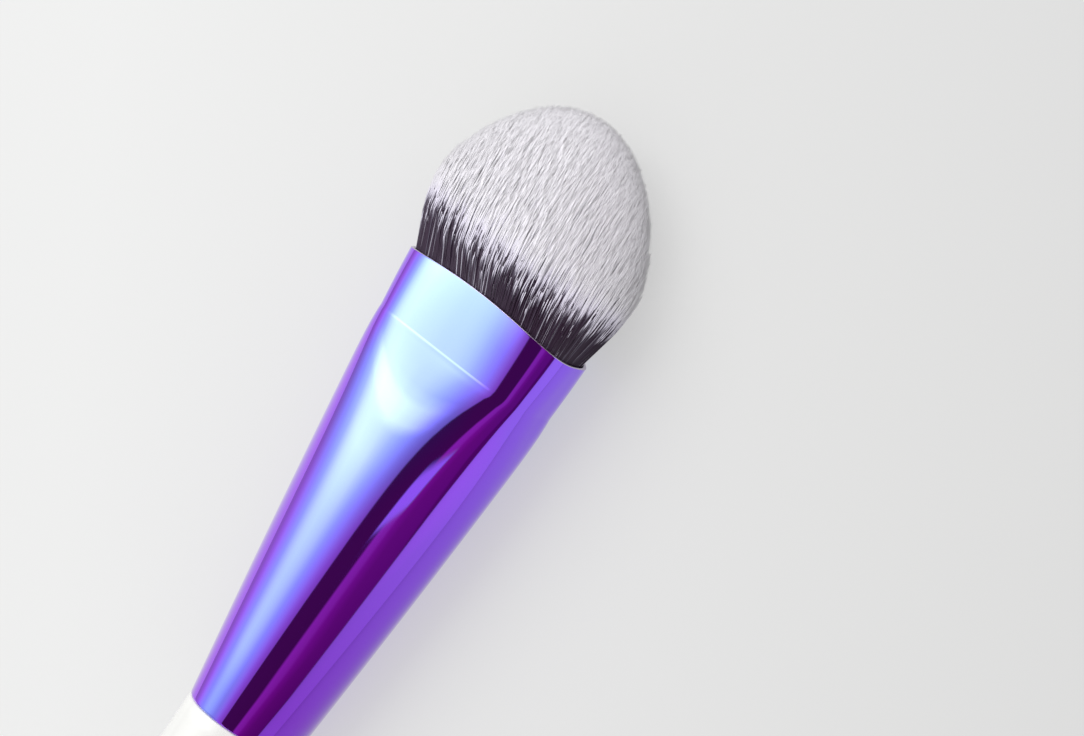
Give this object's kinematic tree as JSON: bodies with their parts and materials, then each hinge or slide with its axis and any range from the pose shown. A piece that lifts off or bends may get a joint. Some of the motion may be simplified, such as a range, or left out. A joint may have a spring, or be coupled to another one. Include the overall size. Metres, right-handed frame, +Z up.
{
  "type": "foundation brush",
  "caption": "Makeup brush with a turned handle, a thin metal ferrule pressed from round to oval, and a domed bristle head.",
  "frame": {"origin": "on the ground, under the middle of the brush as it lies on its wide side", "axes": "+X along the brush from the handle to the bristle tips, +Y across the head, +Z up through its thin side"},
  "size_m": [0.1808, 0.0264, 0.0137],
  "materials": {
    "handle": "white lacquer, glossy",
    "ferrule": "blue and violet sheen over bright metal, polished",
    "adhesive": "set, cloudy resin",
    "bristles": "soft filaments, dark at the roots and nearly white at the tips"
  },
  "bodies": {
    "root": {"handle": "handle", "ferrule": "ferrule", "root_adhesive": "adhesive", "bristles": "bristles"}
  },
  "joints": []
}
